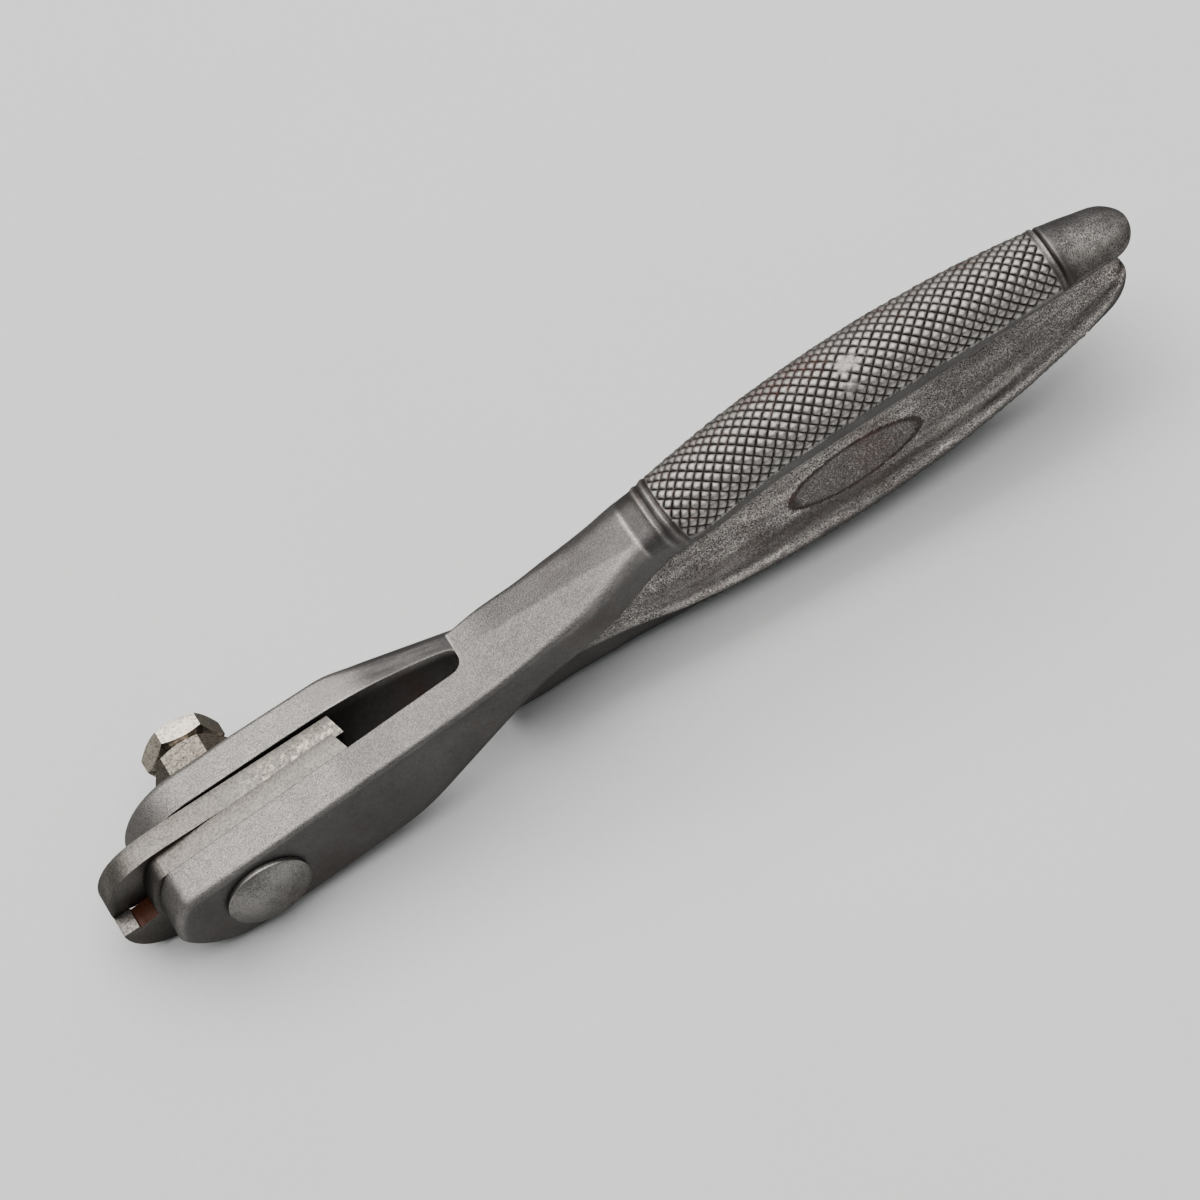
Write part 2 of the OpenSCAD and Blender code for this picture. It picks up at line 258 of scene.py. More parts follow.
# %% [markdown]
# ## Steel
#
# All the pieces are old steel, but each has worn in its own way. The levers
# are forged: a dark skin in the hollows, rubbed light on what a hand or a
# bench touches, with fine pits everywhere. The shapes made below carry up to
# four attributes. `hollow` is 1 at the bottom of a groove; it also darkens
# some walls, and inside the slot it is painted shade. The brightness
# attribute is high on an edge or a flat that wear has brightened, and it
# also carries painted light: raised for painted highlights and lowered for
# painted shade. `raw` is high where the skin is coarse from the forge, and
# `rusty` in the throat behind the beak. One recipe reads them. The plates
# also have pale blotches on top, behind the bolt.

# %% The recipe for steel
pit_height = 0.00005
blotch_tint = linear(196, 184, 166)


def steel(name, *tints, spots=0.2, contrast=0.8, pits=0.5, pit_size=4200,
          rough=(0.38, 0.5), blotches=0.0):
    made = Finish(name)
    dark, light, worn, deep, rust = (linear(*tint) for tint in tints)
    hollow, rubbed, raw, rusty = map(made.attribute, ("hollow", "rubbed", "raw", "rusty"))
    blotch = made.noise(120, 4, 0.6)
    speckle = made.noise(pit_size, 3, 0.65)
    fine = made.noise(pit_size * 1.9, 2, 0.6)
    mottle = made.noise(pit_size * 0.22, 4, 0.6, (0.5, 1, 1))
    skin = ((blotch * 0.4 + speckle * 0.4 + fine * 0.2).ramp(0.3, 0.7) - 0.5) * contrast + 0.5
    colour = made.colour(skin, dark, light)
    grain = (speckle * 0.55 + fine * 0.25 + mottle * 0.2).ramp(0.36, 0.64)
    # Where the brightness attribute carries painted light, the worn tint is a painted highlight, and less of it is
    # painted shade.
    colour = made.colour(rubbed * (grain * (0.8 + raw * 0.9) + 0.6 - raw * 0.4), colour, worn)
    colour = made.colour(raw * (speckle * 0.5 + fine * 0.5).ramp(0.5, 0.38) * 0.7, colour, deep)
    # The deep tint marks the dark skin in grooves; where the slot's wall is darkened it is painted shade.
    colour = made.colour(hollow * 0.8, colour, deep)
    stain = (made.noise(75, 3, 0.6) * 0.7 + made.noise(1100, 2, 0.6) * 0.3).ramp(0.5, 0.68)
    stain = stain * (spots + hollow * 0.8 * (1 - raw))
    colour = made.colour(stain + rusty * (0.6 + speckle * 0.7), colour, rust)
    if blotches:
        x, y = made.axis("X"), made.axis("Y") - pivot.y
        beside = y.ramp(-0.0002, 0.0003) * y.ramp(0.0040, 0.0015)
        where = beside * x.ramp(pivot.x + 0.001, pivot.x + 0.010)
        for scale, low, high, tint in ((900, 0.5, 0.6, blotch_tint), (1500, 0.56, 0.66, deep)):
            patch = where * made.noise(scale, 4, 0.7).ramp(low, high) * blotches
            colour = made.colour(patch, colour, tint)
    height = (speckle.ramp(0.3, 0.62) * 0.7 + fine * 0.3) * (raw * 2.0 + 0.5)
    bump = made.node("ShaderNodeBump", None, {
        "Height": height, "Distance": pits * pit_height, "Strength": 0.6})
    made.set(Base_Color=colour, Metallic=1 - rusty * 0.8, Normal=bump,
             Roughness=rough[1] + skin * (rough[0] - rough[1]) - rubbed * 0.06 + raw * 0.03,
             Specular_Tint=(0.4, 0.4, 0.4, 1.0))
    return made.material


forged = steel("forged_skin", (68, 66, 66), (94, 92, 91), (172, 167, 162),
               (40, 33, 31), (76, 50, 43), pits=1.3)
plate = steel("plate_steel", (60, 58, 56), (88, 85, 82), (170, 163, 155),
              (34, 26, 22), (58, 25, 9), spots=0.12, pits=0.6, pit_size=2600, blotches=0.75)
domed = steel("bolt_steel", (74, 72, 70), (120, 117, 115), (172, 168, 163),
              (34, 30, 28), (70, 46, 38), spots=0.35, contrast=2.2, pits=1.2)
nutty = steel("nut_steel", (52, 49, 46), (84, 79, 73), (204, 194, 180),
              (44, 36, 30), (84, 60, 44), spots=0.4, pit_size=2200, rough=(0.3, 0.42))
for node in ("upper_blade_dowel", "lower_blade_dowel"):
    frame["nodes"][node].data.materials.clear()
    frame["nodes"][node].data.materials.append(domed)
print("materials:", [m.name for m in bpy.data.materials])

# %% [markdown]
# ## The levers
#
# A lever's side view, its width and the roundness of its corners all change
# along its length, and the checkering has to follow the round back. A
# primitive with a few extrusions can't carry that, so a lever is skinned: a
# ring of points is worked out at each station along it, with the same number
# of points in every ring, and neighbouring rings are joined. That is what
# bridging edge loops does by hand.
#
# First come the sizes, in millimetres, and the curves along the lever. Both
# levers have one form, and each has a few numbers of its own: its reach, how
# far its arm's inner wall is from the middle plane, how much that wall leans
# back at the nose (`gap`) and at the slot (`draft`), how soft the arm's
# outer lower edge is, the plain band beside the checkering (`calm`), the
# flare of the grip's rims (`lip`), and the length of the tip's round.

# %% The curves along a lever
upper_one = dict(reach=157.08, inner=3.62, gap=0.35, draft=1.2, soft=0,
                 calm=0.35, lip=0.1, tip=5.2, dented=True, seed=10)
lower_one = dict(reach=154.68, inner=4.02, gap=0.45, draft=1.9, soft=1.2,
                 calm=2.6, lip=0.8, tip=6.5, dented=False, seed=50)
arm_half, arm_out = 8.7, 10.17
slot_end, slot_corner, neck_at, neck_lap = 42.0, 2.0, 41.2, 1.6
grip_start, grip_r, grip_wide_at, swell_r = 76, 7.1, 110, 360
bow_height, bow_at, bow_r, rim_drop = 7.9, 98, 230, 0.6
grip_offset, tip_offset = 0.9, 0.8
trough_depth, trough_from, trough_out, trough_end, rim_w = 1.6, 62, 128, 148, 1.2
tip_len, tip_lift, tip_power = 5.2, 0.45, 2.5
front_rings, rear_rings, ring_h = (76.9, 78.5), (143.9, 144.9), 0.13
collar_at, collar_h = 73.6, 0.03
neck_slope, close_gap = 0.44, 0.2
arm_edge, neck_edge, slot_edge, grip_rim = 1.0, 2.4, 0.2, 0.35

neck_at_z = (close_gap / 2 - neck_at * sin(half_angle)) / cos(half_angle)


def ease(t):
    t = min(max(t, 0), 1)
    return t * t * (3 - 2 * t)


def rise(x, start, end):
    """0 at the start, 1 at the end, smooth between."""
    return ease((x - start) / (end - start))


def fall(x, start, end):
    return 1 - rise(x, start, end)


def bell(off, width):
    """1 in the middle, falling away smoothly on both sides."""
    return exp(-(off / width) ** 2)


def mix(a, b, t):
    return a + (b - a) * t


def soft_min(a, b, k):
    return min(a, b) - max(k - abs(a - b), 0) ** 2 / (4 * k)


def arc_drop(x, at, r):
    u = max(x, grip_start) - at
    return u * u / (2 * r) + min(x - grip_start, 0) * u / r


def grip_half(x):
    return grip_r - arc_drop(max(x, grip_start), grip_wide_at, swell_r)


def grip_mid(x):
    return bow_height - arc_drop(x, bow_at, bow_r)


def raised_rings(x):
    """Low rings with a groove turned beside each."""
    height = 0.0
    for at, tall, groove_at in ((front_rings[0], ring_h, 0.75), (front_rings[1], ring_h, 0.62),
                                (rear_rings[0], 0.14, 0.5), (rear_rings[1], 0.06, -0.5)):
        height += tall * bell(x - at, 0.3)
        height -= 0.11 * bell(x - at - groove_at, 0.22)
    return height


def collar(x):
    """The worn step where the neck's flat top stops, just before the rings."""
    behind = x - collar_at
    return collar_h * (exp(behind / 2.5) if behind <= 0 else bell(behind, 0.25))


def ring_tilt(x):
    """How far a ring's crest lies back from its ends, for each mm of height."""
    front = 0.17 * rise(x, 58, 73) * fall(x, 80, 120)
    return front - 0.105 * rise(x, 105, 140) * fall(x, 146, 152)


def round_off(x, reach, length):
    return sqrt(max(1 - (max(x - reach + length, 0) / length) ** tip_power, 0))


print(f"where the neck starts, its inner face is at {neck_at_z:.2f} mm")

# %% [markdown]
# A station's section is a box with two rounded upper corners. Before the
# slot's end only the arm is there. Behind it the neck starts with a shoulder
# that reaches over to the other side, and it hangs and bulges a little on
# its way. Towards the grip its corners grow until the back is round.

# %% The section at a station
shoulder, neck_bulge, neck_drop, neck_wave = 0.9, 1.1, 0.8, 0.5
full_round = 0.99


def section(x, in_slot, lever=upper_one):
    neck, reach = rise(x, neck_at, grip_start), lever["reach"]
    keep = round_off(x, reach, tip_len)
    lap = neck_lap + shoulder * (1 - ease((x - slot_end - 2) / 12))
    half = mix((arm_out + lap) / 2, grip_half(x), neck) * round_off(x, reach, lever["tip"])
    mid = (-mix((arm_out - lap) / 2, grip_offset, neck)
           - tip_offset * max(x - grip_start, 0) / (upper_one["reach"] - grip_start))
    rim_z = grip_mid(x) - rim_drop
    low = soft_min(-soft_min(arm_half, -(neck_at_z + neck_slope * (x - neck_at)), 2), rim_z, 3)
    back = mix(arm_half, grip_mid(max(x, grip_start)) + grip_half(x),
               ease((x - neck_at + 3) / (grip_start - neck_at + 3)))
    low -= neck_drop * rise(x, 46, 59) * fall(x, 62, 78)
    depth = back - low
    low += tip_lift * (1 - keep) * depth
    left, right = mid - half, mid + half
    if x > slot_end:
        left -= neck_bulge * fall(x, 80, 96)
        left = mix(-arm_out, left, rise(x, 57, 75))
        right += (neck_wave * rise(x, slot_end, 49) * fall(x, 50, 59)
                  - neck_wave * bell(x - 67, 7))
    corner = mix(arm_edge, neck_edge, rise(x, 46, 68))
    corner = mix(corner, half * full_round, rise(x, 68, 84) ** 1.3)
    inner_corner = mix(arm_edge, half * full_round, neck ** 2)
    inner_rim = mix(arm_edge, grip_rim, neck) * keep
    rim = inner_rim + lever["soft"] * rise(x, 22, 28) * fall(x, 42, 50)
    back_off = 0
    if in_slot:
        over = min(max(x - slot_end + slot_corner, 0), slot_corner)
        right = -lever["inner"] + slot_corner - sqrt(max(slot_corner ** 2 - over ** 2, 0))
        inner_corner = inner_rim = slot_edge
        back_off = mix(lever["gap"], lever["draft"], rise(x, 22, 40))
    elif x < slot_end + 12:
        fade = rise(x, slot_end, slot_end + 12)
        inner_corner = mix(0.5, inner_corner, fade)
        inner_rim = mix(0.3, inner_rim, fade)
    hollow = trough_depth * rise(x, trough_from, grip_start) * fall(x, trough_out, trough_end)
    lip = lever["lip"] * rise(x, 60, 76) * ease((reach - x) / 12)
    return dict(x=x, left=left, right=right, low=low, top=low + depth * keep, mid=mid,
                half=half, corner=(corner, inner_corner), rim=(rim, inner_rim),
                trough=hollow, band=0.45 * neck, back_off=back_off, neck=neck,
                tilt=ring_tilt(x), rim_z=rim_z, lip=lip)


s = section(grip_wide_at, False)
print(f"the grip is {s['right'] - s['left']:.1f} wide, {s['top'] - s['low']:.1f} mm high")

# %% [markdown]
# The two walks below go round a section by distance: one over the back,
# counted from its crest, and one along the inner face. Walking by distance
# is what keeps the diamonds of the checkering the same size all over.

# %% Walking round a section
TINY = 1e-6


def back_lengths(s):
    flat = (s["right"] - s["corner"][1]) - (s["left"] + s["corner"][0])
    return flat / 2, (QUARTER * s["corner"][0], QUARTER * s["corner"][1])


def walk_back(s, distance):
    """Point and outward direction at a distance from the crest, minus to the left."""
    side = 1 if distance > 0 else 0
    sign = 1 if side else -1
    flat, arcs = back_lengths(s)
    r = s["corner"][side]
    edge = (s["right"] - r) if side else (s["left"] + r)
    d = abs(distance)
    if d <= flat:
        return (edge - sign * (flat - d), s["top"], 0.0, 1.0)
    if d <= flat + arcs[side]:
        a = (d - flat) / max(r, TINY)
        return (edge + sign * r * sin(a), s["top"] - r + r * cos(a),
                sign * sin(a), cos(a))
    return (edge + sign * r, s["top"] - r - (d - flat - arcs[side]), float(sign), 0.0)


def bowl_at(s, y):
    """1 in the middle of the trough, 0 at its rims, level at both."""
    wide = s["half"] - max(min(rim_w, s["half"] / 2), s["rim"][0]) * 0.6
    return max(1 - ((y - s["mid"]) / max(wide, TINY)) ** 2, 0) ** 1.7


def walk_face(s, share):
    """Point at a share of the way along the inner face, from right to left."""
    r0, r1 = s["rim"][1], s["rim"][0]
    right = s["right"] - s["back_off"]
    flat = (right - r0) - (s["left"] + r1)
    d = share * (QUARTER * (r0 + r1) + flat)
    if d < QUARTER * r0:
        a = d / max(r0, TINY)
        ny, nz = cos(a), -sin(a)
        y, z = right - r0 + r0 * ny, s["low"] + r0 + r0 * nz
    elif d <= QUARTER * r0 + flat:
        y, z, ny, nz = right - r0 - (d - QUARTER * r0), s["low"], 0.0, -1.0
    else:
        a = (d - QUARTER * r0 - flat) / max(r1, TINY)
        ny, nz = -sin(a), -cos(a)
        y, z = s["left"] + r1 + r1 * ny, s["low"] + r1 + r1 * nz
    bowl = bowl_at(s, y)
    return y, z + s["trough"] * bowl, ny, nz, bowl


# %% [markdown]
# The checkering is two families of V grooves at 45 degrees to the grip.
# The stations and the points of each ring are spaced at an eighth of a
# diamond's diagonal, so every groove runs exactly through points of the skin
# and stays crisp. The tops are worn, no two alike, and on the upper grip two
# knocks have nearly flattened a few of them.

# %% The checkering
diamond, groove_depth = 1.95, 0.34
steps_per_diamond = 8
step = diamond / steps_per_diamond
pattern_from, pattern_to = 79.45, 143.2
across = 38
dent_at, dent_depth = (32.4, -1.4), 0.13
knocks = ((dent_at, 1.5), ((dent_at[0] - 1.3, dent_at[1] - 3.3), 1.0))
top_wear = np.random.default_rng(7).random((128, 128))


def groove(along, side, dented):
    """Depth below the crown of a diamond, how dark and how bright with wear the spot is."""
    a, b = (along + side) / diamond, (along - side) / diamond
    near_a, near_b = 2 * abs(a - round(a)), 2 * abs(b - round(b))
    fall_a, fall_b = (1 - near_a) ** 3, (1 - near_b) ** 3
    cut = fall_a + fall_b - fall_a * fall_b
    dark = max(1 - near_a, 1 - near_b) ** 6
    worn = top_wear[math.floor(a) % 128, math.floor(b) % 128]
    deep = groove_depth * (0.8 + 0.2 * worn)
    depth = 0.05 * worn ** 2 + deep * cut
    bright = (0.75 + 0.25 * worn) * (1 - min(1.2 * cut, 1))
    if dented:
        for at, size in knocks:
            far = max(abs(along - at[0]) / size, abs(side - at[1]) / (0.8 * size))
            calm = ease((1.4 - far) / 0.7)
            depth = mix(depth, dent_depth, 0.7 * calm)
            dark *= 1 - 0.7 * calm
            bright = mix(bright, 0.55, calm)
    return depth, dark, bright


# %% [markdown]
# The nose of the arm is the one place where a station along X would not do,
# because the outline turns back on itself there. Rings fan round it
# instead: the same edge profile is carried round the outline, and the two
# halves of each ring meet at the very front.

# %% The outline of the nose
nose_top_mid, nose_top_r = (-2.2, -0.8), 12.6
nose_low_r = 12.2
nose_low_mid = (-3.0, nose_low_r - arm_half)
nose_round = 2.6
sweep_from = 20.0


def polar(mid, r, a):
    return mid[0] + r * cos(a), mid[1] + r * sin(a)


def fan(mid, r, start, end, count):
    """Points round an arc, without its first one, each with its direction."""
    return [(polar(mid, r, a), a) for a in np.linspace(start, end, count)[1:]]


def nose_stations():
    """Pairs of (point, direction) on the upper and lower outline, front last.
    A lower one also has its share of the inner wall's lean."""
    top_r, low_r, flat = nose_top_r - nose_round, nose_low_r - nose_round, arm_half - nose_round
    (tx, tz), (lx, lz) = nose_top_mid, nose_low_mid
    start = (tx - sqrt(top_r ** 2 - (flat - tz) ** 2), flat)
    a1 = atan2(start[1] - tz, start[0] - tx)
    gap = hypot(lx - tx, lz - tz)
    toward = atan2(lz - tz, lx - tx)
    spread = acos((top_r ** 2 + gap ** 2 - low_r ** 2) / (2 * top_r * gap))
    a2 = min(((toward + turn) % (2 * pi) for turn in (spread, -spread)),
             key=lambda a: polar(nose_top_mid, top_r, a)[0])
    tip = polar(nose_top_mid, top_r, a2)
    a3 = atan2(tip[1] - lz, tip[0] - lx) % (2 * pi)
    front = (a2 + a3) / 2
    on_top = [((x, flat), QUARTER) for x in np.linspace(sweep_from, start[0], 12)[1:]]
    on_top += fan(start, 0, QUARTER, a1, 9) + fan(nose_top_mid, top_r, a1, a2, 22)
    on_top += fan(tip, 0, a2, front, 5)
    on_low = [((x, -flat), 3 * QUARTER) for x in np.linspace(sweep_from, lx, 12)[1:]]
    on_low += fan(nose_low_mid, low_r, 3 * QUARTER, a3, 30) + fan(tip, 0, a3, front, 5)
    on_low = [(p, a, rise(p[0], -14, 20)) for p, a in on_low]
    return list(zip(on_top, on_low))


# %% [markdown]
# Each point has its wear, and some painted light. Flats and edges are
# rubbed, and painted light makes the flats lighter towards the nose and
# along the neck. The neck's far facet is darkened as painted shade, its
# ridge has a painted highlight, the edge of the slot's end is brightened,
# the inner face has streaks along it, and the arm's inner face behind the
# nose is darkened as painted shade.

# %% Wear at a point
def wave(x, y, z):
    return noise.noise(Vector((x, y, z)))


def streaks(x, y, seed):
    """Long soft streaks along the lever, from 0 to 1."""
    return ease(0.5 + 0.9 * wave(x * 0.035, y * 0.5, seed)
                + 0.35 * wave(x * 0.15, y * 1.2, seed + 5))


def ridge_at(x):
    """Where the soft ridge on top of the neck lies, on its way to the collar."""
    return mix(-1.4, -6.0, min(max((x - 44) / 29, 0), 1))


def face_wear(x, y, s, flat, edge):
    arm = fall(x, 46, 66)
    # Painted shade: behind X 24 the rubbed flats and edges of the arm's inner face are made darker, in streaks.
    slope_shade = 1 - 0.85 * rise(x, 24, 30) * (0.7 + 0.6 * streaks(x * 3, y * 2, 1))
    inner_edge = 0.4 * bell(s["right"] - s["back_off"] - y, 0.3)
    inside = (0.08 + 0.45 * streaks(x, y, 3) ** 1.5) * rise(x, 50, 70)
    inside *= 1 - 0.45 * rise(x, 136, 150) * streaks(x * 2, y * 0.6, 4)
    rim = bell(abs(y - s["mid"]) - s["half"] + 0.5, 0.5)
    rims = 0.5 * rim * (0.3 + 0.7 * streaks(x * 6, y * 2, 9)) * (1 - arm)
    return (flat * slope_shade + edge * slope_shade + inner_edge) * arm + inside + rims, 1 - arm


def wear_at(x, y, ny, nz, s, on_back):
    """How bright the steel is from wear and from painted light, and how raw it is."""
    uneven = 0.16 * wave(x * 0.6, y * 0.8, 3 * ny)
    up = min(max(abs(nz) + uneven * (1 - nz * nz), 0), 1)
    # The flats are rubbed; painted light makes them lighter towards the nose, and the smaller power along the neck
    # spreads their light tone over its rounded corners.
    flat = (0.27 + 0.10 * rise(x, 14, -6)) * up ** mix(5, 1.8, s["neck"])
    edge = 0.20 * bell(up - 0.7, 0.22 if up > 0.7 else 0.34)
    # Painted light: along the neck, edges facing -Y are made lighter still.
    edge *= 1 + 0.9 * rise(x, 52, 62) * ease(-2 * ny)
    if not on_back:
        return face_wear(x, y, s, flat, edge)
    ridge = ridge_at(x)
    # Painted shade: the neck's facet beyond the ridge, towards +Y, is made darker.
    far_facet_shade = ease(y - ridge + 0.5) * rise(x, 44, 50)
    far_facet_shade *= 0.64 + 0.2 * ease((y - s["mid"] - 1) / 5) * rise(x, 55, 67)
    # Painted highlight: a light line along the ridge.
    crest = 0.09 * bell(y - ridge, 0.4) * rise(x, 46, 52)
    on_neck = ((flat + edge) * (1 - far_facet_shade) + crest) * (1 - ease((x - collar_at) / 0.4))
    collar_line = 0.55 * bell(x - collar_at, 0.3) * rise(ny, 0.5, 0) * abs(nz)
    shoulder_edge = 0.3 * bell(x - slot_end, 0.35) * ease((y + 3.6) / 1.2)
    rings = max(raised_rings(x), 0) / ring_h * 0.5 * (0.3 + 0.7 * nz)
    tip = ease((x - rear_rings[1]) / 1.5)
    # Painted highlight: the tip's flank on the -Y side is made lighter, unevenly.
    flank = ease((s["mid"] - y + 3.5) / 7)
    tip_flank_highlight = tip * 0.62 * flank * flank * rise(x, 143, 149) * (0.75 + 3.75 * uneven)
    rubbed = on_neck + collar_line + shoulder_edge + rings + tip_flank_highlight
    return min(max(rubbed, 0), 1), 0.8 * tip + 0.15


def roughen(x, y, z, amount, seed):
    """A small forged unevenness, along the surface's direction."""
    slow = wave(x * 0.22, y * 0.5, z * 0.5 + seed)
    quick = wave(x * 0.9, y * 1.3, z * 1.3 + seed)
    return amount * (0.11 * slow + 0.05 * quick)


# %% [markdown]
# Now the rings themselves: the points of the back, the right wall, the inner
# face and the left wall, each with how dark, how bright and how raw it is.
# The brightness is wear and, in places, painted light; the darkness is the
# dark skin and, inside the slot, painted shade. The back's points are
# spaced for the checkering where it is, and evenly elsewhere. A ring leans
# back a little, as the turned rings of the grip do.

# %% The points of the back
wall = 7
back_points = 2 * across + 1
ring_points = 2 * back_points + 2 * wall
crest_drop = 0.05


def leaning_x(s, z):
    return s["x"] - s["tilt"] * (z - s["rim_z"])


def back_row(s, along, lever):
    """The back's points, left to right, and how far out its two ends are."""
    x, (flat, arcs) = s["x"], back_lengths(s)
    behind_slot = rise(x, slot_end, slot_end + 8)
    patterned = 1 if along is not None else ease(
        1 - min(abs(x - pattern_from), abs(x - pattern_to)) / 3.0)
    row, ends = [], [0, 0]
    for j in range(-across, across + 1):
        side = 1 if j > 0 else 0
        limit, d = flat + arcs[side] - s["band"], abs(j) * step
        if d > limit:
            d = limit + (d - limit) * 0.5 / max(across * step - limit, 0.5)
        d = mix(limit * abs(j) / across, d, patterned)
        if abs(j) == across:
            ends[side] = d
        distance = d if side else -d
        y, z, ny, nz = walk_back(s, distance)
        rubbed, raw = wear_at(x, y, ny, nz, s, True)
        out = (raised_rings(x) + collar(x)) * ease((limit + 0.9 - d) / (2.2 + lever["calm"]))
        out += roughen(x, y, z, 0.35 + raw * 0.5, lever["seed"]) * behind_slot
        dark = min(max(-raised_rings(x), 0) / ring_h, 1) * 0.6
        if along is not None:
            depth, dark, bright = groove(along, distance, lever["dented"])
            fade = (ease((limit - d) / lever["calm"])
                    * ease(min(along, pattern_length - along) / 0.3))
            out -= depth * fade
            dark *= fade
            # Painted shade: diamond tops turned towards +Y are made less bright.
            rubbed = bright * (1 - 0.4 * ease((ny - 0.1) / 0.7)) * fade + 0.2 * (1 - fade)
        if x > slot_end:
            slant = 0.09 * rise(x, slot_end, slot_end + 6) * fall(x, 62, 73)
            z -= slant * max(y - ridge_at(x), 0) * nz
        out -= crest_drop * behind_slot
        if collar_at + 0.5 < x < pattern_from:
            dark = max(dark, 0.14)
        if along is None and x > pattern_to:
            dark = max(dark, 0.75 * ease((-ny - 0.7) / 0.25) * rise(x, 140, 146))
        y, z = y + ny * out, z + nz * out
        row.append(((leaning_x(s, z), y, z), (dark, rubbed, raw)))
    return row, ends


# %% The points of the walls and the inner face
def wall_row(s, in_slot, side, end):
    """Down one side wall, from the end of the back to the inner face."""
    x, (flat, arcs), row = s["x"], back_lengths(s), []
    height = max(s["top"] - s["corner"][side] - s["low"] - s["rim"][side], 0)
    for k in range(1, wall + 1):
        d = mix(end, flat + arcs[side] + height, k / (wall + 1))
        y, z, ny, nz = walk_back(s, d if side else -d)
        if side:
            y -= s["back_off"] * ease((d - flat - arcs[1]) / max(height, TINY))
        rubbed, raw = wear_at(x, y, ny, nz, s, True)
        rubbed = (rubbed * 0.6 + 0.04) * (1 - 0.5 * rise(x, 74, 82))
        dark = 0.5 * rise(x, 140, 148) * (k / wall) ** 2
        # Painted shade: inside the slot this wall gets no wear and is made dark, darker further in.
        if in_slot and side:
            rubbed, dark = 0.0, 0.6 * rise(x, 28, 36)
        y += ny * s["lip"] * ease(k / (wall + 1))
        row.append(((leaning_x(s, z), y, z), (dark, rubbed, raw)))
    return row


def face_row(s, lever):
    """Along the inner face, from the right rim to the left one."""
    x, row = s["x"], []
    for k in range(back_points):
        y, z, ny, nz, bowl = walk_face(s, k / (back_points - 1))
        rubbed, raw = wear_at(x, y, ny, nz, s, False)
        bump = (roughen(x, y, z, raw, lever["seed"] + 20) * min(1, 3 * bowl)
                * ease((lever["reach"] - x) / 6))
        y += (y - s["mid"]) / max(s["half"], TINY) * s["lip"]
        near_rim = bell(s["right"] - y - 1.2, 0.9) * rise(x, 118, 134)
        dark = raw * (0.1 * bowl + 0.36 * streaks(x * 1.4, y * 0.9, 12) ** 3)
        dark += 0.8 * near_rim * streaks(x * 4, y * 2, 15)
        rubbed *= 1 - 0.6 * near_rim
        row.append(((leaning_x(s, z), y, z - bump), (dark, rubbed, raw)))
    return row


def ring(x, in_slot, along, lever):
    s = section(x, in_slot, lever)
    back, ends = back_row(s, along, lever)
    left, right = (wall_row(s, in_slot, side, ends[side]) for side in (0, 1))
    return back + right + face_row(s, lever) + left[::-1]


# %% A ring round the nose
def nose_ring(upper_station, lower_station, lever):
    """The profile of the arm's edge, carried round the outline of the nose."""
    s = section(sweep_from, True, lever)
    s["corner"] = (mix(arm_edge, 1.5, rise(upper_station[0][0], 4, -8)), s["corner"][1])
    flat, arcs = back_lengths(s)
    *low_station, kept_lean = lower_station

    def carried(y, inset, station):
        px, pz = polar(station[0], nose_round - inset, station[1])
        return px, y, pz

    def worn(station, nz):
        up = abs(sin(station[1])) * nz
        return (0.0, 0.34 * up ** 2 + 0.2 * bell(nz - 0.72, 0.3) + 0.03, 0.2)

    def side_wall(start, end):
        a, b = np.array(start[0]), np.array(end[0])
        return [(tuple(mix(a, b, k / (wall + 1))), (0.0, 0.02, 0.15)) for k in range(1, wall + 1)]

    back, face = [], []
    for j in range(-across, across + 1):
        y, z, ny, nz = walk_back(s, (flat + arcs[1 if j > 0 else 0]) * j / across)
        back.append((carried(y, s["top"] - z, upper_station), worn(upper_station, nz)))
        shift = s["back_off"] * ease((y + arm_out) / (arm_out - lever["inner"]))
        face.insert(0, (carried(y - shift * kept_lean, s["top"] - z, low_station),
                        worn(low_station, nz)))
    return back + side_wall(back[-1], face[0]) + face + side_wall(face[-1], back[0])


# %% [markdown]
# The stations lie close together where the shape changes quickly: at the
# slot's end, over the collar and the rings, through the checkering, and
# round the tip.

# %% The stations along a lever
close = 0.12
spine_x = np.linspace(pattern_from, pattern_to, 2000)
spine_z = np.array([grip_mid(x) + grip_half(x) for x in spine_x])
spine_length = np.concatenate([[0], np.cumsum(np.hypot(np.diff(spine_x), np.diff(spine_z)))])
pattern_length = math.floor(spine_length[-1] / step) * step
pattern_x = np.interp(np.arange(0, pattern_length + step / 2, step), spine_length, spine_x)


def run(start, stop, gap, in_slot=False):
    return [(x, in_slot, None) for x in np.arange(start, stop, gap)]


def stations(reach):
    """(x, inside the slot, distance along the checkering or None)"""
    found = run(sweep_from, slot_end - slot_corner, 1.0, True)
    found += [(slot_end - slot_corner * (1 - sin(a)), True, None)
              for a in np.linspace(0, QUARTER, 9)]
    found += [(slot_end + d, False, None) for d in (0.03, 0.1, 0.2, 0.35, 0.52, 0.7, 1.0, 1.5)]
    found += run(44.3, 72.6, 0.9) + run(73.0, pattern_from - 0.08, close)
    found += [(x, False, k * step) for k, x in enumerate(pattern_x)]
    found += run(pattern_x[-1] + close, 146.0, close) + run(146.4, reach - tip_len, 0.4)
    return found + [(reach - tip_len * (1 - sin(a)), False, None)
                    for a in np.linspace(0, QUARTER * 0.985, 22)]


print(len(pattern_x), "stations carry", pattern_length, "mm of checkering")

# %% The skin of a lever
def mark(mesh, domain, **wear):
    """Stores numbers on points or faces, for the recipe for steel to read."""
    for key, values in wear.items():
        mesh.attributes.new(key, "FLOAT", domain).data.foreach_set("value", values)


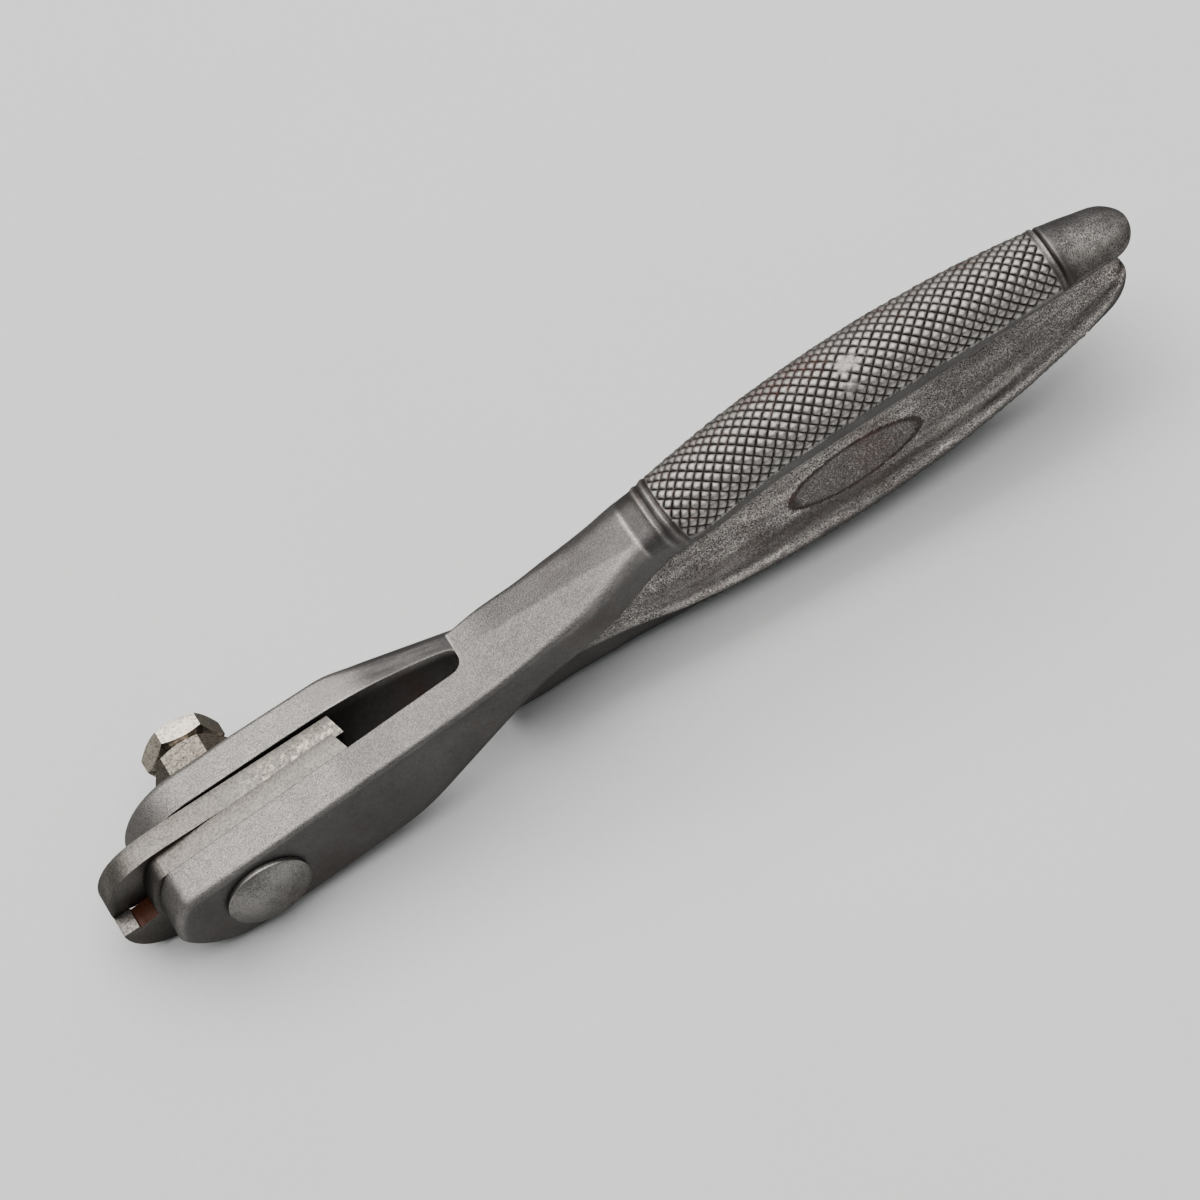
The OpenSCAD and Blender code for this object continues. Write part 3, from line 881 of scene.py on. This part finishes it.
def lever_mesh(name, lever):
    rings = [nose_ring(a, b, lever) for a, b in reversed(nose_stations())]
    noses, along_lever = len(rings), stations(lever["reach"])
    first = noses + [along for _, _, along in along_lever].index(0)
    last_cut = first + len(pattern_x) - 1
    rings += [ring(x, in_slot, along, lever) for x, in_slot, along in along_lever]
    points = np.array([point for r in rings for point, _ in r])
    wear = np.array([marks for r in rings for _, marks in r])
    faces = []
    for i in range(len(rings) - 1):
        a0, b0 = i * ring_points, (i + 1) * ring_points
        for j in range(ring_points):
            after = (j + 1) % ring_points
            a, b, c, d = a0 + j, a0 + after, b0 + after, b0 + j
            if first <= i < last_cut and j < back_points - 1:
                # the shared edge of the two triangles follows the nearer groove
                u = (i - first + 0.5 + (j - across + 0.5)) / steps_per_diamond
                v = (i - first + 0.5 - (j - across + 0.5)) / steps_per_diamond
                if abs(u - round(u)) < abs(v - round(v)):
                    faces += [(a, b, d), (b, c, d)]
                else:
                    faces += [(a, b, c), (a, c, d)]
            else:
                faces.append((a, b, c, d))
    last = (len(rings) - 1) * ring_points
    points = np.vstack([points, points[last:].mean(0)])
    wear = np.vstack([wear, wear[-1]]).astype(np.float32).T.copy()
    faces += [(last + j, last + (j + 1) % ring_points, len(points) - 1)
              for j in range(ring_points)]
    mesh = bpy.data.meshes.new(name)
    mesh.from_pydata([tuple(p) for p in points], [], faces)
    mark(mesh, "POINT", hollow=wear[0], rubbed=wear[1], raw=wear[2])
    print(name, noses, "rings round the nose and", len(along_lever), "along the lever")
    return mesh


# %% [markdown]
# By hand, every piece would go through the same few steps. Each of them is
# one helper here, and the last one hangs the finished piece on its body.

# %% Steps that every piece shares
def mode(name):
    bpy.ops.object.mode_set(mode=name)


def pick(action="SELECT"):
    """In edit mode: all of the mesh, or nothing."""
    bpy.ops.mesh.select_all(action=action)


def only(*objs):
    """Selects one object alone and makes it active, or selects nothing."""
    bpy.ops.object.select_all(action="DESELECT")
    for obj in objs:
        obj.select_set(True)
        bpy.context.view_layer.objects.active = obj


def tidy_skin(obj):
    """Merges what coincides and turns every face outwards."""
    only(obj)
    mode("EDIT")
    pick()
    bpy.ops.mesh.remove_doubles(threshold=1e-4)
    bpy.ops.mesh.dissolve_degenerate(threshold=1e-5)
    pick()
    bpy.ops.mesh.normals_make_consistent(inside=False)
    mode("OBJECT")


def cut_with(obj, cutter, operation="DIFFERENCE"):
    """Applies a Boolean and removes the cutter."""
    only(obj)
    tool = obj.modifiers.new("cut", "BOOLEAN")
    tool.operation, tool.object, tool.solver = operation, cutter, "MANIFOLD"
    bpy.ops.object.modifier_apply(modifier=tool.name)
    bpy.data.objects.remove(cutter)


def soften(obj, width, segments, angle):
    """Bevels the edges that are sharper than an angle, as wear does."""
    only(obj)
    worn = obj.modifiers.new("worn edges", "BEVEL")
    worn.width, worn.segments, worn.limit_method = width, segments, "ANGLE"
    worn.angle_limit = radians(angle)
    bpy.ops.object.modifier_apply(modifier=worn.name)


def extrude(*shift):
    """Pulls what is selected out by a step in x, y and z."""
    bpy.ops.mesh.extrude_region_move(TRANSFORM_OT_translate={"value": shift})


def finished(obj, material, smooth_angle, body, slot, *nodes):
    """Shades a piece, gives it its steel and hangs it on its body."""
    obj.data.materials.clear()
    obj.data.materials.append(material)
    only(obj)
    bpy.ops.object.shade_smooth_by_angle(angle=radians(smooth_angle))
    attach(obj, body)
    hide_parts(*nodes)
    obj.data.calc_loop_triangles()
    print(obj.name, len(obj.data.loop_triangles), "triangles")


# %% [markdown]
# The bolt's bore, the dowel's hole and the shallow oval panel are cut out
# of the finished skin with three primitives. The oval is a disc squeezed to
# shape, with a top that follows the trough. The panel's floor is darker
# than the face, and darker still along its wall.

# %% Cutters for a lever
panel_at, panel_len, panel_w, panel_depth = 106, 23, 6, 0.5
bolt_hole_r, dowel_hole_r, dowel_at, dowel_to = 3.225, 1.52, 13, 7.64


def rod(name, radius, start, end, x, sides=64):
    """A plain cylinder along Y between two distances from the shear plane."""
    bpy.ops.mesh.primitive_cylinder_add(
        vertices=sides, radius=radius, depth=end - start,
        location=(x, -(start + end) / 2, 0), rotation=(QUARTER, 0, 0))
    made = bpy.context.object
    made.name = name
    bpy.ops.object.transform_apply(location=True, rotation=True, scale=True)
    return made


def drill(obj, *holes):
    """Cuts holes along Y, each given by its radius, its two ends and its place."""
    for hole in holes:
        cut_with(obj, rod("drill", *hole))


def oval_cutter():
    """A disc, inset ring by ring, whose top follows the inner face at an even depth."""
    only()
    bpy.ops.mesh.primitive_circle_add(vertices=96, radius=1, fill_type="NGON")
    made = bpy.context.object
    mode("EDIT")
    pick()
    for width in (0.05, 0.10, 0.16, 0.16, 0.16, 0.16, 0.14):
        bpy.ops.mesh.inset(thickness=width, depth=0)
    bpy.ops.mesh.poke()
    pick()
    extrude(0, 0, -5)
    mode("OBJECT")
    mid = section(panel_at, False)["mid"]
    for v in made.data.vertices:
        x, y = panel_at + v.co.x * panel_len / 2, mid + v.co.y * panel_w / 2
        s = section(x, False)
        face_z = s["low"] + s["trough"] * bowl_at(s, y)
        v.co = (x, y, face_z + panel_depth if v.co.z > -1 else face_z - 3)
    tidy_skin(made)
    return made


def mark_panel(mesh):
    hollow, raw, rubbed = (mesh.attributes[key].data for key in ("hollow", "raw", "rubbed"))
    middle = section(panel_at, False)["mid"]
    for v in mesh.vertices:
        out = hypot((v.co.x - panel_at) / (panel_len / 2), (v.co.y - middle) / (panel_w / 2))
        if out < 1.03:
            s = section(v.co.x, False)
            if v.co.z < s["low"] + s["trough"] + 1:
                # Darker towards the panel's wall.
                near_wall = ease((out - 0.86) / 0.1)
                hollow[v.index].value = 0.15 + 0.8 * near_wall
                raw[v.index].value, rubbed[v.index].value = 0.8, 0.06 * (1 - near_wall)


# %% Both levers
def forge(name, place, body, node, lever):
    """One lever: the skin, then the bore, the dowel's hole and the panel."""
    made = placed(name, lever_mesh(name, lever))
    tidy_skin(made)
    drill(made, (bolt_hole_r, 0, 14, 0), (dowel_hole_r, 0, dowel_to, dowel_at))
    cut_with(made, oval_cutter())
    mark_panel(made.data)
    made.data.transform(place)
    finished(made, forged, 38, body, "forged_steel", node)


forge("upper_lever_forging", UPPER, "upper_lever", "upper_handle", upper_one)
forge("lower_lever_forging", LOWER, "lower_lever", "lower_handle", lower_one)

# %% [markdown]
# ## The blade plates
#
# Each plate is flat, so its outline says nearly everything: a hollow tail
# with two sharp corners, straight edges, a round nose, and the beak with its
# ground land and the throat behind it. By hand this starts as a flat ring of
# points on the outline, which is filled, extruded to the plate's thickness
# and bevelled along its rims. The edge behind the land stands a little
# forward on one plate and is cut back on the other, as in the photograph.

# %% The outline of a plate
blade_half, blade_reach, tail_at, tail_hollow = 8.4, 0.9, 21.0, 2.0
beak_mid, beak_r, beak_lean, beak_pull = (-13.5, 0.24), 8.1, 0.5, 2.6
land_lap, land_len = 0.3, 2.7
blade_face, plate_round, plate_rim = 0.02, 3.0, 0.07


def from_closed(x, z):
    """A point of the closed tool's middle plane, in a lever's own frame."""
    return (x * cos(half_angle) + z * sin(half_angle),
            z * cos(half_angle) - x * sin(half_angle))


def plate_outline(throat_depth, throat_from):
    nose_r = nose_top_r + blade_reach
    cx, cz = nose_top_mid
    tail_r = (blade_half ** 2 + tail_hollow ** 2) / (2 * tail_hollow)
    reach_z = asin(blade_half / tail_r)
    tail_mid = tail_at - tail_hollow + tail_r
    points = [(tail_mid - tail_r * cos(a), tail_r * sin(a))
              for a in np.linspace(reach_z, -reach_z, 15)]
    a_join = 1.5 * pi - beak_lean
    join = polar(beak_mid, beak_r, a_join)
    for t in np.linspace(0, 1, 12)[:-1]:
        # a cubic that leaves along the edge and arrives along the beak
        pull = 3 * (1 - t) * t
        x0, x1, z0 = -9.0, -12.0, -blade_half
        x2 = join[0] + beak_pull * cos(beak_lean)
        z2 = join[1] - beak_pull * sin(beak_lean)
        points.append(((1 - t) ** 3 * x0 + pull * ((1 - t) * x1 + t * x2) + t ** 3 * join[0],
                       (1 - t) ** 3 * z0 + pull * ((1 - t) * z0 + t * z2) + t ** 3 * join[1]))
    land_front = from_closed(beak_mid[0] - beak_r, land_lap / 2)
    a_front = pi - asin((land_front[1] - beak_mid[1]) / beak_r)
    points += [polar(beak_mid, beak_r, a) for a in np.linspace(a_join, a_front, 24)]
    land_back = beak_mid[0] - beak_r + land_len
    points += [from_closed(land_back, land_lap / 2),
               from_closed(land_back + throat_from, land_lap / 2 - throat_depth),
               from_closed(land_back + 1.0, land_lap / 2 - throat_depth + 0.05),
               from_closed(land_back + 1.3, land_lap / 2 - throat_depth * 0.55)]
    a_low = pi - asin((points[-1][1] - cz) / nose_r)
    inner_r, flat = nose_r - plate_round, blade_half - plate_round
    round_mid = (cx - sqrt(inner_r ** 2 - (flat - cz) ** 2), flat)
    a_top = atan2(flat - cz, round_mid[0] - cx)
    points += [polar(nose_top_mid, nose_r, a) for a in np.linspace(a_low, a_top, 20)]
    return points + [p for p, _ in fan(round_mid, plate_round, a_top, QUARTER, 9)]


def outlined_plate(name, points, start, end, tail_skew):
    """A circle moved onto an outline, filled, extruded and bevelled."""
    only()
    bpy.ops.mesh.primitive_circle_add(vertices=len(points), radius=1)
    made = bpy.context.object
    made.name = name
    for vertex, (x, z) in zip(made.data.vertices, points):
        vertex.co = (x, -start, z)
    mode("EDIT")
    pick()
    bpy.ops.mesh.edge_face_add()
    extrude(0, start - end, 0)
    pick()
    bpy.ops.mesh.normals_make_consistent(inside=False)
    mode("OBJECT")
    for vertex in made.data.vertices:
        if vertex.co.x > tail_at - tail_hollow - 1:
            vertex.co.x += tail_skew * (0.5 + (vertex.co.y + start) / (end - start))
    soften(made, plate_rim, 2, 60)
    return made


# %% [markdown]
# A plate's wear follows its faces: the rims shine, the land at the beak is
# ground bright, and the throat behind it is rusty. The last number of each
# plate is painted shade: how far its rim is darkened towards the beak,
# which lies in shadow on the lower plate.

# %% Both plates in their places
def plate_wear(mesh, beak_shade):
    marks = np.zeros((3, len(mesh.polygons)), np.float32)
    inside = land_len - beak_r + beak_mid[0]
    for f in mesh.polygons:
        x, z, n = f.center.x, f.center.z, f.normal
        rubbed, rusty, raw = 0.3 * abs(n.z) ** 2 + 0.03, 0, 0.08
        if abs(n.y) > 0.9:
            rubbed = 0.02
        elif x < inside and n.z > 0.8 and z > 0.4:
            rubbed, raw = 0.32, 0.45
        elif inside - 0.2 < x < -14 and abs(n.y) < 0.5 and -1 < z < 1.3:
            rubbed, rusty = 0, 1.0 if n.z > 0.5 else 0.75
        else:
            # Painted shade: the rim is darkened towards the beak, which lies in shadow on the lower plate.
            rubbed *= 1 - beak_shade * rise(x, -3, -9)
            raw = 0.08 + 0.14 * rise(x, -14, -20)
        marks[:, f.index] = rubbed, rusty, raw
    mark(mesh, "FACE", rubbed=marks[0], rusty=marks[1], raw=marks[2])


for name, place, body, node, thick, skew, throat, beak_shade in (
        ("upper_blade_plate", LOWER, "lower_lever", "upper_blade", 3.9, 0.9, (-0.25, 0.8), 0),
        ("lower_blade_plate", UPPER, "upper_lever", "lower_blade", 3.6, -1.0, (0.5, 0.12), 0.75)):
    piece = outlined_plate(name, plate_outline(*throat), blade_face, thick, skew)
    drill(piece, (bolt_hole_r, -1, 5, 0), (dowel_hole_r, -1, 5, dowel_at))
    plate_wear(piece.data, beak_shade)
    piece.data.transform(place)
    finished(piece, plate, 30, body, "blade_steel", node)

# %% [markdown]
# ## Bolt and nuts
#
# The bolt has a low domed head. A cylinder gives the rim, and its end face
# is then extruded and shrunk in small steps, each a little flatter.

# %% The bolt
bolt_r, head_r, head_rim, head_dome, bolt_end = 3.175, 6.75, 0.9, 1.5, 20.5
end_bevel, end_share, dome_steps = 0.4, 0.86, 10


def select_end(obj, y_sign):
    """Leaves only the end face on one side of a rod along Y selected."""
    mesh = bmesh.from_edit_mesh(obj.data)
    far = max(y_sign * f.calc_center_median().y for f in mesh.faces)
    for f in mesh.faces:
        f.select_set(y_sign * f.calc_center_median().y > far - 1e-4 and abs(f.normal.y) > 0.99)
    mesh.select_flush_mode()
    bmesh.update_edit_mesh(obj.data)


def shrink(share):
    """Scales what is selected towards the bolt's axis."""
    bpy.ops.transform.resize(value=(share, 1, share), center_override=(0, 0, 0))


only()
bolt = rod("bolt_with_domed_head", head_r, arm_out, arm_out + head_rim, 0, 96)
mode("EDIT")
bpy.ops.mesh.select_mode(type="FACE")
select_end(bolt, -1)
dome_r = (head_r ** 2 + head_dome ** 2) / (2 * head_dome)
full = asin(head_r / dome_r)
for k in range(1, dome_steps):
    a0, a1 = full * (1 - (k - 1) / dome_steps), full * (1 - k / dome_steps)
    extrude(0, -dome_r * (cos(a1) - cos(a0)), 0)
    shrink(sin(a1) / sin(a0))
pick("DESELECT")
select_end(bolt, 1)
bpy.ops.mesh.inset(thickness=head_r - bolt_r, depth=0)
extrude(0, arm_out + bolt_end - end_bevel, 0)
extrude(0, end_bevel, 0)
shrink(end_share)
mode("OBJECT")
soften(bolt, 0.25, 3, 50)
mark(bolt.data, "FACE",
     rubbed=[0.5 if 0.2 < abs(f.normal.y) < 0.8 else 0.15 for f in bolt.data.polygons])
bolt.data.transform(stand @ to_metres)
finished(bolt, domed, 35, "lower_lever", "bolt_steel", "pivot_bolt")

# %% [markdown]
# A nut is a six-sided prism whose corners were turned away on a lathe, so
# the chamfer is what a wide cylinder with chamfered ends leaves of it. The
# full nut sits against the arm, and the thin one, rubbed the most, locks it.
# On both, the faces turned upwards are made lighter as a painted highlight.

# %% The nuts
nut_af, nut_h, lock_h, lock_turn = 11.1, 5.56, 3.97, 13
nut_face_r, nut_chamfer = 4.85, 0.85


def nut(node, start, height, turn, wear):
    corner_r = nut_af / 2 / cos(radians(30))
    made = rod(node + "_hex", corner_r, -start - height, -start, 0, 6)
    made.data.transform(Matrix.Rotation(radians(turn), 4, "Y"))
    only()
    lathe = rod("lathe", corner_r, -start - height + nut_chamfer, -start - nut_chamfer, 0, 96)
    mode("EDIT")
    bpy.ops.mesh.select_mode(type="FACE")
    for y_sign in (-1, 1):
        select_end(lathe, y_sign)
        bpy.ops.mesh.inset(thickness=corner_r - nut_face_r, depth=nut_chamfer)
    mode("OBJECT")
    cut_with(made, lathe, "INTERSECT")
    drill(made, (bolt_hole_r, -start - height - 1, -start + 1, 0))
    soften(made, 0.13, 2, 24)
    # Painted highlight: the large faces are lighter the more they face up, most on the worn lock nut; the chamfers
    # and small bevels are rubbed.
    rubbed = [0.03 + (wear + 0.09) * max(f.normal.z, 0) ** 2 if f.area > 3 else
              0.08 if 0.3 < abs(f.normal.y) < 0.98 and f.area > 0.5 else 0.4
              for f in made.data.polygons]
    mark(made.data, "FACE", rubbed=rubbed, raw=[0.7 - 0.6 * wear] * len(rubbed))
    made.data.transform(stand @ to_metres)
    finished(made, nutty, 30, "lower_lever", "nut_steel", node)


nut("pivot_nut", arm_out, nut_h, 30, 0.1)
nut("lock_nut", arm_out + nut_h, lock_h, 30 + lock_turn, 0.75)

# %% [markdown]
# ## The last checks
#
# The finished model's box is set beside the solids', and how far it has
# grown on each side is printed. The finished model may not be larger than
# the solids.

# %% Size and finish
low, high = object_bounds()
grown = [*((cad_low - low) / MM), *((high - cad_high) / MM)]
print("grown by, in mm:", [round(v, 3) for v in grown])
